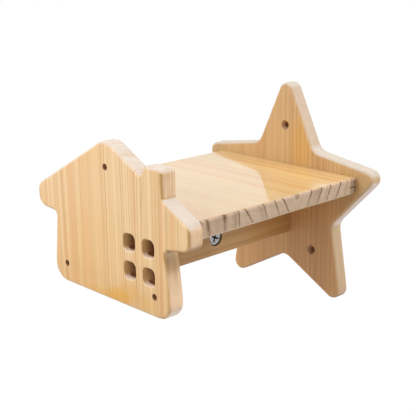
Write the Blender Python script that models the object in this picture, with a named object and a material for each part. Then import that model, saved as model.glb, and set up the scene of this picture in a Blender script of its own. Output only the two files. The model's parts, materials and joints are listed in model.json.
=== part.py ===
# Cat wall bridge: a pine deck and rail between a house-shaped and a star-shaped
# end panel, put together with dowels, cam bolts and cam locks.
# Metres, +Z up. The origin is the centre of the star's wall face, and +X points
# out of the star into the wall, so the bridge runs towards -X. -Y is the front.
import math

import bmesh
import bpy
from mathutils import Matrix, Vector

for leftover in list(bpy.data.objects):
    bpy.data.objects.remove(leftover, do_unlink=True)

# Boards
board_thickness = 0.015
deck_span = 0.1985
deck_depth = 0.169
deck_top = 0.0315
rail_height = 0.0515
deck_edge_round = 0.0026
rail_edge_round = 0.0012
panel_edge_round = 0.003
touch_gap = 0.0003

# Star panel, about its own centre: its tips and notches from the top one down each side
star_tips = {"head": 0.1188, "arm": 0.1158, "leg": 0.1199}
star_notches = {"neck": 0.0583, "waist": 0.0606, "fork": 0.0583}
star_tip_round = 0.0085
star_notch_round = 0.012
star_top_hole_inset = 0.0510
star_low_hole_inset = 0.0613

# House panel, heights above its own bottom edge. Its roof sits a little towards the
# front, where its eave also hangs lower.
house_drop = 0.0471
house_foot_half = 0.0774
house_wall_half = 0.0701
house_wall_height = {"front": 0.0573, "back": 0.0603}
house_roof_offset = 0.0011
house_eave_half = 0.0971
house_eave_low = {"front": 0.0612, "back": 0.0624}
house_eave_high = 0.0812
house_peak_height = 0.1341
house_foot_round = 0.015
house_wall_round = 0.004
house_eave_round = 0.0095
house_peak_round = 0.018
chimney_near = 0.045
chimney_far = 0.068
chimney_rise = 0.0098
chimney_round = 0.004
house_top_hole_inset = 0.0231
house_low_hole_height = 0.0174
house_low_hole_half = 0.0572

# Windows of the house
window_side = 0.0143
window_bar = 0.0086
window_round = 0.0047
window_rim_round = 0.0015
window_group_offset = 0.0390
window_group_height = 0.0433

# Screw holes through both panels, countersunk on the inner face
screw_hole_radius = 0.0027
screw_head_radius = 0.0046

# Dowels
dowel_radius = 0.004
dowel_length = 0.030
dowel_chamfer = 0.0007
dowel_from_deck_edge = 0.014
rail_dowel_half_spacing = 0.014
rail_top_dowel_half_spacing = 0.060
blind_hole_floor = 0.0045

# Cam bolts
bolt_from_deck_edge = 0.039
bolt_reach = 0.0354
bolt_thread_radius = 0.0031
bolt_collar_radius = 0.0036
bolt_collar_length = 0.002
bolt_shaft_radius = 0.0027
bolt_neck_radius = 0.0018
bolt_head_radius = 0.003
bolt_head_length = 0.0022
bolt_end_chamfer = 0.0005

# Cam locks
cam_radius = 0.0073
cam_recess = 0.0026
cam_bore_floor = 0.002
cam_edge_chamfer = 0.0004
hook_wall_open = 0.0013
hook_wall_locked = 0.0021
cam_turn = math.radians(180)
cam_side_margin = math.radians(8)
cross_half_length = 0.0033
cross_half_width = 0.00065
cross_floor = 0.0006
cross_angle = math.radians(63)

# Places worked out from the sizes
star_inner_x = -board_thickness
house_inner_x = star_inner_x - deck_span
house_outer_x = house_inner_x - board_thickness
middle_x = (star_inner_x + house_inner_x) / 2
deck_underside = deck_top - board_thickness
deck_middle_z = deck_top - board_thickness / 2
rail_top = deck_underside - touch_gap
rail_bottom = rail_top - rail_height
rail_middle_z = (rail_top + rail_bottom) / 2
blind_hole_depth = board_thickness - blind_hole_floor
dowel_y = deck_depth / 2 - dowel_from_deck_edge
bolt_y = deck_depth / 2 - bolt_from_deck_edge
cam_face = board_thickness / 2 - cam_recess
cam_foot = board_thickness / 2 - cam_bore_floor - touch_gap
hook_radius_open = cam_radius - hook_wall_open
hook_radius_locked = cam_radius - hook_wall_locked
slot_half_height = bolt_neck_radius + touch_gap
head_half_chord = math.sqrt(bolt_head_radius ** 2 - slot_half_height ** 2)
head_back = math.sqrt((hook_radius_locked - touch_gap) ** 2 - head_half_chord ** 2)
head_tip = head_back - bolt_head_length
cavity_half_height = bolt_head_radius + touch_gap
cavity_post_radius = head_tip - touch_gap

arc_step = math.radians(20)
round_segments = 24
hidden_segments = 16
cutter_reach = 0.002
along_x = Matrix.Rotation(math.radians(90), 4, "Y")


def material(name, colour, roughness, metallic):
    made = bpy.data.materials.new(name)
    made.use_nodes = True
    shader = made.node_tree.nodes["Principled BSDF"]
    shader.inputs["Base Color"].default_value = (*colour, 1)
    shader.inputs["Roughness"].default_value = roughness
    shader.inputs["Metallic"].default_value = metallic
    made.diffuse_color = (*colour, 1)
    return made


pine = material("pine", (0.78, 0.54, 0.31), 0.35, 0)
beech = material("beech", (0.70, 0.52, 0.34), 0.6, 0)
zinc = material("zinc", (0.66, 0.66, 0.68), 0.35, 1)
steel = material("steel", (0.50, 0.50, 0.52), 0.3, 1)

bridge = bpy.data.objects.new("cat_wall_bridge", None)
bpy.context.scene.collection.objects.link(bridge)


def place_object(name, mesh, finish=None, place=Matrix.Identity(4)):
    made = bpy.data.objects.new(name, mesh)
    bpy.context.scene.collection.objects.link(made)
    if finish and not mesh.materials:
        mesh.materials.append(finish)
    made.parent = bridge
    made.matrix_world = place
    return made


def finish_mesh(shape, name, smooth_angle=math.radians(35)):
    bmesh.ops.recalc_face_normals(shape, faces=shape.faces)
    mesh = bpy.data.meshes.new(name)
    shape.to_mesh(mesh)
    shape.free()
    mesh.shade_smooth()
    mesh.set_sharp_from_angle(angle=smooth_angle)
    return mesh


# A corner's arc meets both of its sides, so convex and concave corners round alike
def rounded_outline(corners):
    outline = []
    for index, (y, z, radius) in enumerate(corners):
        corner = Vector((y, z))
        before = Vector(corners[index - 1][:2])
        after = Vector(corners[(index + 1) % len(corners)][:2])
        to_before = (before - corner).normalized()
        to_after = (after - corner).normalized()
        half_angle = to_before.angle(to_after) / 2
        centre = corner + (to_before + to_after).normalized() * radius / math.sin(half_angle)
        start = corner + to_before * radius / math.tan(half_angle) - centre
        sweep = math.pi - 2 * half_angle
        if to_before.cross(to_after) > 0:
            sweep = -sweep
        steps = max(2, math.ceil(abs(sweep) / arc_step))
        for step in range(steps + 1):
            spoke = start.copy()
            spoke.rotate(Matrix.Rotation(sweep * step / steps, 2))
            outline.append(centre + spoke)
    return outline


def loft(shape, rings):
    loops = [[shape.verts.new(point) for point in ring] for ring in rings]
    count = len(loops[0])
    for lower, upper in zip(loops, loops[1:]):
        for index in range(count):
            following = (index + 1) % count
            shape.faces.new((lower[index], lower[following], upper[following], upper[index]))
    shape.faces.new(list(reversed(loops[0])))
    shape.faces.new(loops[-1])


def circle_ring(radius, height, place, segments):
    spokes = [2 * math.pi * index / segments for index in range(segments)]
    return [place @ Vector((radius * math.cos(turn), radius * math.sin(turn), height)) for turn in spokes]


# A turned shape from (radius, height) pairs, its axis along the place's own Z
def turned(shape, profile, place=Matrix.Identity(4), segments=round_segments):
    loft(shape, [circle_ring(radius, height, place, segments) for radius, height in profile])


# A board whose outline lies in the YZ plane, between two X positions
def board(name, outline, x_from, x_to):
    shape = bmesh.new()
    loft(shape, [[Vector((x, point.x, point.y)) for point in outline] for x in (x_from, x_to)])
    return place_object(name, finish_mesh(shape, name), pine)


def round_rims(target, radius):
    rims = target.modifiers.new("rounded_rims", "BEVEL")
    rims.width = radius
    rims.segments = 3
    rims.limit_method = "ANGLE"
    rims.angle_limit = math.radians(60)
    rims.use_clamp_overlap = False


def cut(target, shape, name):
    cutter = place_object(name, finish_mesh(shape, name))
    cutter.hide_render = True
    cutter.display_type = "WIRE"
    hole = target.modifiers.new(name, "BOOLEAN")
    hole.operation = "DIFFERENCE"
    hole.solver = "EXACT"
    hole.object = cutter
    return cutter


# A round bore from a point on a face, into the wood along a direction
def bore(shape, mouth, direction, radius, depth, segments=hidden_segments):
    place = Matrix.Translation(mouth) @ Vector(direction).to_track_quat("Z", "Y").to_matrix().to_4x4()
    turned(shape, [(radius, -cutter_reach), (radius, depth)], place, segments)


# The holes that both panels share, for the deck's and the rail's dowels and bolts
def joint_places():
    dowels = [(side * dowel_y, deck_middle_z) for side in (-1, 1)]
    dowels += [(0, rail_middle_z + side * rail_dowel_half_spacing) for side in (-1, 1)]
    bolts = [(side * bolt_y, deck_middle_z) for side in (-1, 1)]
    return dowels, bolts


def cut_panel(target, inner_x, into, screw_places, extra=None):
    shape = bmesh.new()
    dowels, bolts = joint_places()
    for y, z in dowels:
        bore(shape, (inner_x, y, z), (into, 0, 0), dowel_radius + touch_gap, blind_hole_depth)
    for y, z in bolts:
        bore(shape, (inner_x, y, z), (into, 0, 0), bolt_thread_radius + touch_gap, blind_hole_depth)
    sink = screw_head_radius - screw_hole_radius
    profile = [
        (screw_head_radius + cutter_reach, -cutter_reach),
        (screw_head_radius, 0),
        (screw_hole_radius, sink),
        (screw_hole_radius, board_thickness + cutter_reach),
    ]
    for y, z in screw_places:
        turn = Vector((into, 0, 0)).to_track_quat("Z", "Y").to_matrix().to_4x4()
        turned(shape, profile, Matrix.Translation((inner_x, y, z)) @ turn)
    if extra:
        extra(shape)
    cut(target, shape, target.name + "_holes")


# Tips and notches take turns round the star, a tenth of a turn apart
def star_place(index, radius):
    turn = math.pi / 2 + index * math.pi / 5
    return (radius * math.cos(turn), radius * math.sin(turn))


def make_star_panel():
    tips = [star_tips[name] for name in ("head", "arm", "leg", "leg", "arm")]
    notches = [star_notches[name] for name in ("neck", "waist", "fork", "waist", "neck")]
    corners = []
    for index, (tip, notch) in enumerate(zip(tips, notches)):
        corners.append((*star_place(2 * index, tip), star_tip_round))
        corners.append((*star_place(2 * index + 1, notch), star_notch_round))
    panel = board("star_panel", rounded_outline(corners), star_inner_x, 0)
    round_rims(panel, panel_edge_round)
    screws = [star_place(0, star_tips["head"] - star_top_hole_inset)]
    screws += [star_place(index, star_tips["leg"] - star_low_hole_inset) for index in (4, 6)]
    cut_panel(panel, star_inner_x, 1, screws)


def window_places():
    half_pitch = (window_side + window_bar) / 2
    middle_z = window_group_height - house_drop
    return [
        (-window_group_offset + across * half_pitch, middle_z + up * half_pitch)
        for across in (-1, 1)
        for up in (-1, 1)
    ]


def window_ring(x, middle, growth):
    half = window_side / 2 + growth
    rounding = window_round + growth
    y, z = middle
    corners = [
        (y + half, z + half, rounding),
        (y - half, z + half, rounding),
        (y - half, z - half, rounding),
        (y + half, z - half, rounding),
    ]
    return [Vector((x, point.x, point.y)) for point in rounded_outline(corners)]


# Each window is cut with rims that round over on both faces
def add_windows(shape):
    rim = window_rim_round
    quarter = [math.radians(turn) for turn in (0, 45, 90)]
    rounding = [(rim * (1 - math.cos(turn)), rim * (1 - math.sin(turn))) for turn in quarter]
    stations = [(house_outer_x - cutter_reach, rim)]
    stations += [(house_outer_x + depth, growth) for depth, growth in rounding]
    stations += [(house_inner_x - depth, growth) for depth, growth in reversed(rounding)]
    stations.append((house_inner_x + cutter_reach, rim))
    for middle in window_places():
        loft(shape, [window_ring(x, middle, growth) for x, growth in stations])


def make_house_panel():
    slope = (house_peak_height - house_eave_high) / house_eave_half
    near_foot = house_peak_height - slope * chimney_near
    far_foot = house_peak_height - slope * chimney_far
    chimney_top = near_foot + chimney_rise
    back_wall = [
        (house_wall_half, house_wall_height["back"], house_wall_round),
        (house_foot_half, 0, house_foot_round),
    ]
    front_wall = [
        (-house_foot_half, 0, house_foot_round),
        (-house_wall_half, house_wall_height["front"], house_wall_round),
    ]
    front_roof = [
        (-house_eave_half, house_eave_low["front"], house_eave_round),
        (-house_eave_half, house_eave_high, house_eave_round),
        (-chimney_far, far_foot, chimney_round / 2),
        (-chimney_far, chimney_top, chimney_round),
        (-chimney_near, chimney_top, chimney_round),
        (-chimney_near, near_foot, chimney_round),
    ]
    back_roof = [
        (0, house_peak_height, house_peak_round),
        (house_eave_half, house_eave_high, house_eave_round),
        (house_eave_half, house_eave_low["back"], house_eave_round),
    ]
    front_roof = [(y - house_roof_offset, z, rounding) for y, z, rounding in front_roof]
    back_roof = [(y - house_roof_offset, z, rounding) for y, z, rounding in back_roof]
    corners = back_roof + back_wall + front_wall + front_roof
    corners = [(y, z - house_drop, rounding) for y, z, rounding in corners]
    panel = board("house_panel", rounded_outline(corners), house_outer_x, house_inner_x)
    round_rims(panel, panel_edge_round)
    low = house_low_hole_height - house_drop
    screws = [(-house_roof_offset, house_peak_height - house_top_hole_inset - house_drop)]
    screws += [(side * house_low_hole_half, low) for side in (-1, 1)]
    cut_panel(panel, house_inner_x, -1, screws, add_windows)


def box_outline(half_width, bottom, top, low_round, high_round):
    return rounded_outline([
        (half_width, top, high_round),
        (-half_width, top, high_round),
        (-half_width, bottom, low_round),
        (half_width, bottom, low_round),
    ])


def cut_cam_bore(target, mouth, direction, name):
    shape = bmesh.new()
    depth = board_thickness - cam_bore_floor
    bore(shape, mouth, direction, cam_radius + touch_gap, depth, 40)
    cut(target, shape, name)


# Ends of the deck and rail: the panel face each meets and the way into the wood
panel_sides = {"house": (house_inner_x, 1), "star": (star_inner_x, -1)}


def board_dowel_depth():
    return dowel_length - blind_hole_depth + 3 * touch_gap


def make_deck():
    outline = box_outline(deck_depth / 2, deck_underside, deck_top, deck_edge_round, deck_edge_round)
    deck = board("deck_board", outline, house_inner_x + touch_gap, star_inner_x - touch_gap)
    shape = bmesh.new()
    bolt_bore = bolt_collar_radius + touch_gap
    for panel_x, into in panel_sides.values():
        for side in (-1, 1):
            mouth = (panel_x, side * dowel_y, deck_middle_z)
            bore(shape, mouth, (into, 0, 0), dowel_radius + touch_gap, board_dowel_depth())
            mouth = (panel_x, side * bolt_y, deck_middle_z)
            bore(shape, mouth, (into, 0, 0), bolt_bore, bolt_reach)
    for side in (-1, 1):
        mouth = (middle_x + side * rail_top_dowel_half_spacing, 0, deck_underside)
        bore(shape, mouth, (0, 0, 1), dowel_radius + touch_gap, blind_hole_depth)
    mouth = (middle_x, 0, deck_underside)
    bore(shape, mouth, (0, 0, 1), bolt_thread_radius + touch_gap, blind_hole_depth)
    cut(deck, shape, "deck_holes")
    for panel, (panel_x, into) in panel_sides.items():
        for side in (-1, 1):
            mouth = (panel_x + into * bolt_reach, side * bolt_y, deck_underside)
            cut_cam_bore(deck, mouth, (0, 0, 1), f"deck_cam_bore_{panel}_{side}")


def make_rail():
    outline = box_outline(board_thickness / 2, rail_bottom, rail_top, rail_edge_round, rail_edge_round / 2)
    rail = board("centre_rail", outline, house_inner_x + touch_gap, star_inner_x - touch_gap)
    shape = bmesh.new()
    for panel_x, into in panel_sides.values():
        for side in (-1, 1):
            mouth = (panel_x, 0, rail_middle_z + side * rail_dowel_half_spacing)
            bore(shape, mouth, (into, 0, 0), dowel_radius + touch_gap, board_dowel_depth())
    for side in (-1, 1):
        mouth = (middle_x + side * rail_top_dowel_half_spacing, 0, deck_underside)
        bore(shape, mouth, (0, 0, -1), dowel_radius + touch_gap, board_dowel_depth())
    mouth = (middle_x, 0, deck_underside)
    bore(shape, mouth, (0, 0, -1), bolt_collar_radius + touch_gap, bolt_reach)
    cut(rail, shape, "rail_holes")
    mouth = (middle_x, -board_thickness / 2, deck_underside - bolt_reach)
    cut_cam_bore(rail, mouth, (0, 1, 0), "rail_cam_bore")


# A dowel or bolt stands on the face that it is driven into and points away from it
def standing_on(mouth, direction):
    turn = Vector(direction).to_track_quat("Z", "Y").to_matrix().to_4x4()
    return Matrix.Translation(mouth) @ turn


def dowel_mesh():
    shape = bmesh.new()
    low = touch_gap - blind_hole_depth
    high = low + dowel_length
    tip = dowel_radius - dowel_chamfer
    turned(shape, [
        (tip, low),
        (dowel_radius, low + dowel_chamfer),
        (dowel_radius, high - dowel_chamfer),
        (tip, high),
    ], segments=hidden_segments)
    return finish_mesh(shape, "dowel")


def bolt_mesh():
    shape = bmesh.new()
    low = touch_gap - blind_hole_depth
    shaft_end = bolt_reach - cam_radius - 2 * touch_gap
    back = bolt_reach - head_back
    tip = bolt_reach - head_tip
    turned(shape, [
        (bolt_thread_radius - bolt_end_chamfer, low),
        (bolt_thread_radius, low + bolt_end_chamfer),
        (bolt_thread_radius, touch_gap),
        (bolt_collar_radius, touch_gap),
        (bolt_collar_radius, touch_gap + bolt_collar_length),
        (bolt_shaft_radius, touch_gap + bolt_collar_length),
        (bolt_shaft_radius, shaft_end - bolt_end_chamfer),
        (bolt_neck_radius, shaft_end),
        (bolt_neck_radius, back),
        (bolt_head_radius, back),
        (bolt_head_radius, tip - bolt_end_chamfer),
        (bolt_head_radius - bolt_end_chamfer, tip),
    ], segments=hidden_segments)
    return finish_mesh(shape, "cam_bolt")


# Part of a ring about Z, from a profile of (radius, height) pairs at each angle
def ring_sector(shape, profile_at, start, sweep):
    steps = math.ceil(sweep / arc_step)
    sections = []
    for step in range(steps + 1):
        turn = start + sweep * step / steps
        spoke = Vector((math.cos(turn), math.sin(turn), 0))
        sections.append([spoke * radius + Vector((0, 0, height)) for radius, height in profile_at(turn)])
    loft(shape, sections)


# The track's wall closes in on the axis as the lock turns, which pulls the bolt's head.
# The neck runs in the narrow slot through that wall, and the head in the wider cavity.
def track_profile(turn):
    share = min(1, max(0, turn / cam_turn))
    hook = hook_radius_open + (hook_radius_locked - hook_radius_open) * share
    beyond = cam_radius + cutter_reach
    upper = [
        (beyond, slot_half_height),
        (hook, slot_half_height),
        (hook, cavity_half_height),
        (cavity_post_radius, cavity_half_height),
    ]
    lower = [(radius, -height) for radius, height in reversed(upper)]
    return lower + upper


# The bolt's head enters at angle 0 and sits at cam_turn when the lock is closed
def cam_mesh():
    shape = bmesh.new()
    rim = cam_radius - cam_edge_chamfer
    turned(shape, [
        (rim, -cam_foot),
        (cam_radius, -cam_foot + cam_edge_chamfer),
        (cam_radius, cam_face - cam_edge_chamfer),
        (rim, cam_face),
    ], segments=36)
    cam = place_object("cam_blank", finish_mesh(shape, "cam_blank"))

    track = bmesh.new()
    side_room = math.atan2(bolt_head_radius, head_tip) + cam_side_margin
    ring_sector(track, track_profile, -side_room, cam_turn + 2 * side_room)
    cutters = [cut(cam, track, "cam_track")]

    entry = bmesh.new()
    entry_radius = bolt_head_radius + touch_gap / 2
    turned(entry, [(entry_radius, head_back), (entry_radius, cam_radius + 2 * cutter_reach)], along_x)
    cutters.append(cut(cam, entry, "cam_entry"))

    cross = bmesh.new()
    cross_low = cavity_half_height + cross_floor
    quarter = [
        Vector((cross_half_length, cross_half_width, 0)),
        Vector((cross_half_width, cross_half_width, 0)),
        Vector((cross_half_width, cross_half_length, 0)),
    ]
    plus = []
    for arm in range(4):
        turn = Matrix.Rotation(arm * math.pi / 2 + cross_angle, 3, "Z")
        plus += [turn @ point for point in quarter]
    loft(cross, [[point + Vector((0, 0, z)) for point in plus] for z in (cross_low, cam_face + cutter_reach)])
    cutters.append(cut(cam, cross, "cam_cross"))

    bpy.context.view_layer.update()
    shaped = cam.evaluated_get(bpy.context.evaluated_depsgraph_get())
    mesh = bpy.data.meshes.new_from_object(shaped)
    mesh.name = "cam_lock"
    for spare in [cam] + cutters:
        bpy.data.objects.remove(spare)
    return mesh


# A lock's own Z points out of its bore's mouth, and its own -X towards the bolt's seat
def cam_place(centre, mouth_normal, to_bolt_seat):
    z_axis = Vector(mouth_normal)
    x_axis = -Vector(to_bolt_seat)
    y_axis = z_axis.cross(x_axis)
    turn = Matrix((x_axis, y_axis, z_axis)).transposed().to_4x4()
    return Matrix.Translation(centre) @ turn


def make_fasteners():
    dowel = dowel_mesh()
    bolt = bolt_mesh()
    cam = cam_mesh()
    for panel, (panel_x, into) in panel_sides.items():
        for side, row in ((-1, "front"), (1, "back")):
            seat = (panel_x, side * dowel_y, deck_middle_z)
            place_object(f"deck_dowel_{panel}_{row}", dowel, beech, standing_on(seat, (into, 0, 0)))
            seat = (panel_x, side * bolt_y, deck_middle_z)
            place_object(f"cam_bolt_{panel}_{row}", bolt, steel, standing_on(seat, (into, 0, 0)))
            centre = (panel_x + into * bolt_reach, side * bolt_y, deck_middle_z)
            place = cam_place(centre, (0, 0, -1), (-into, 0, 0))
            place_object(f"cam_lock_{panel}_{row}", cam, zinc, place)
        for side, row in ((-1, "lower"), (1, "upper")):
            seat = (panel_x, 0, rail_middle_z + side * rail_dowel_half_spacing)
            place_object(f"rail_dowel_{panel}_{row}", dowel, beech, standing_on(seat, (into, 0, 0)))
        top_x = middle_x - into * rail_top_dowel_half_spacing
        seat = (top_x, 0, deck_underside)
        place_object(f"rail_top_dowel_{panel}", dowel, beech, standing_on(seat, (0, 0, -1)))
    seat = (middle_x, 0, deck_underside)
    place_object("cam_bolt_rail", bolt, steel, standing_on(seat, (0, 0, -1)))
    centre = (middle_x, 0, deck_underside - bolt_reach)
    place_object("cam_lock_rail", cam, zinc, cam_place(centre, (0, -1, 0), (0, 0, 1)))


make_house_panel()
make_star_panel()
make_deck()
make_rail()
make_fasteners()
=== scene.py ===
import json
import math

import bpy
import bmesh
from mathutils import Matrix, Vector

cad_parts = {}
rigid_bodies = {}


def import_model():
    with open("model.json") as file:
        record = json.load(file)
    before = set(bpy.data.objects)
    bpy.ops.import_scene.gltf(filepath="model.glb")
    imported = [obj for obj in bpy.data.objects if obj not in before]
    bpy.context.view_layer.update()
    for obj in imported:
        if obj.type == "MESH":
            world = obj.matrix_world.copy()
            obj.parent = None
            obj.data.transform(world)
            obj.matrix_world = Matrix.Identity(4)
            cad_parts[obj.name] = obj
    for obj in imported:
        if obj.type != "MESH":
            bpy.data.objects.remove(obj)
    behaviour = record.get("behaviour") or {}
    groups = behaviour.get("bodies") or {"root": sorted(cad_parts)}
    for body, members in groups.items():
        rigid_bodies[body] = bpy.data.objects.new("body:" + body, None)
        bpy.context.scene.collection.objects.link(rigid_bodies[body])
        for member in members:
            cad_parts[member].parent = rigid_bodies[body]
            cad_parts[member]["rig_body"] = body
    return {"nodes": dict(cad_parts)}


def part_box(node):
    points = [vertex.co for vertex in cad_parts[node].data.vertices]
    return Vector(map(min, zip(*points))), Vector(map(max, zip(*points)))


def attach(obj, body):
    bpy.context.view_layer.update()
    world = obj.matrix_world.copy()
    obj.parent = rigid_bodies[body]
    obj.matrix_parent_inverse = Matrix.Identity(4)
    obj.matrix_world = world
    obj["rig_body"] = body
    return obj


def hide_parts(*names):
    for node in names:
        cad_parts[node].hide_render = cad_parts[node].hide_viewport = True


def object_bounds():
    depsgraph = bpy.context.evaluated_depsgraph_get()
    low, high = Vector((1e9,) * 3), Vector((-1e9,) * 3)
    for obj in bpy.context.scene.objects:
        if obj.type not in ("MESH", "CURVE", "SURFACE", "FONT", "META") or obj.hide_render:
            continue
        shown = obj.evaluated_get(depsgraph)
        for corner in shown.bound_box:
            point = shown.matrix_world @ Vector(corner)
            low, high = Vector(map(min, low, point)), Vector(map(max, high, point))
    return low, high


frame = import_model()
bpy.context.view_layer.update()
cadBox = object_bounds()
nodes = frame["nodes"]
print("frame loaded,", len(nodes), "nodes")

white = (1.0, 1.0, 1.0, 1.0)


class Shade:
    # one socket of a node tree, so that its maths reads as plain Python

    def __init__(self, tree, socket=None):
        self.tree = tree
        self.socket = socket

    def add(self, kind, settings=None, inputs=None, out=0):
        # any node; a socket takes a value, a link or a list of links
        node = self.tree.nodes.new(kind)
        for name, value in (settings or {}).items():
            setattr(node, name, value)
        for name, value in (inputs or {}).items():
            for source in value if isinstance(value, list) else [value]:
                if isinstance(source, Shade):
                    self.tree.links.new(source.socket, node.inputs[name])
                else:
                    node.inputs[name].default_value = source
        return Shade(self.tree, node.outputs[out] if node.outputs else None)

    def output(self, name):
        # another output of the same node
        return Shade(self.tree, self.socket.node.outputs[name])

    def maths(self, operation, *others, clamp=False):
        settings = {"operation": operation, "use_clamp": clamp}
        return self.add("ShaderNodeMath", settings, dict(enumerate((self,) + others)))

    def __add__(self, other):
        return self.maths("ADD", other)

    def __radd__(self, other):
        return self + other

    def __sub__(self, other):
        return self.maths("SUBTRACT", other)

    def __rsub__(self, other):
        return (self * -1.0) + other

    def __mul__(self, other):
        return self.maths("MULTIPLY", other)

    def __rmul__(self, other):
        return self * other

    def __pow__(self, other):
        return self.maths("POWER", other)

    def __abs__(self):
        return self.maths("ABSOLUTE")

    def larger(self, other):
        return self.maths("MAXIMUM", other)

    def limited(self):
        # kept between 0 and 1
        return self.maths("ADD", 0.0, clamp=True)

    def between(self, low, high):
        # 0 at low, 1 at high and smooth in between; low may be the larger number
        settings = {"interpolation_type": "SMOOTHSTEP"}
        inputs = {"Value": self, "From Min": low, "From Max": high}
        return self.add("ShaderNodeMapRange", settings, inputs)

    def mix(self, first, second):
        # this value mixes two colours
        inputs = {0: self, 6: first, 7: second}
        return self.add("ShaderNodeMix", {"data_type": "RGBA"}, inputs, out=2)

    def scaled(self, factor):
        # a vector made longer or shorter
        inputs = {0: self, "Scale": factor}
        return self.add("ShaderNodeVectorMath", {"operation": "SCALE"}, inputs)

    def part(self, axis):
        return self.add("ShaderNodeSeparateXYZ", None, {0: self}, out="XYZ".index(axis))

    def join(self, first, second, third):
        return self.add("ShaderNodeCombineXYZ", None, {0: first, 1: second, 2: third})

    def place(self):
        # the object's own place, in millimetres
        return self.add("ShaderNodeTexCoord", out="Object").scaled(1000.0)

    def normal(self):
        return self.add("ShaderNodeTexCoord", out="Normal")

    def noise(self, scale, detail, roughness):
        inputs = {"Vector": self, "Scale": scale, "Detail": detail, "Roughness": roughness}
        return self.add("ShaderNodeTexNoise", None, inputs)


def rgb(colour):
    # a screen colour, 0 to 255, as the shader's linear one
    linear = []
    for value in colour:
        share = value / 255
        linear.append(share / 12.92 if share <= 0.04045 else ((share + 0.055) / 1.055) ** 2.4)
    return (*linear, 1.0)


def newMaterial(name):
    material = bpy.data.materials.new(name)
    material.use_nodes = True
    material.node_tree.nodes.clear()
    return material, Shade(material.node_tree)


def surface(shade, inputs):
    # the Principled shader with its linked sockets and its constant ones
    principled = shade.add("ShaderNodeBsdfPrincipled", None, inputs)
    shade.add("ShaderNodeOutputMaterial", None, {"Surface": principled})


def addObject(name, data):
    thing = bpy.data.objects.new(name, data)
    bpy.context.scene.collection.objects.link(thing)
    return thing


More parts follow.
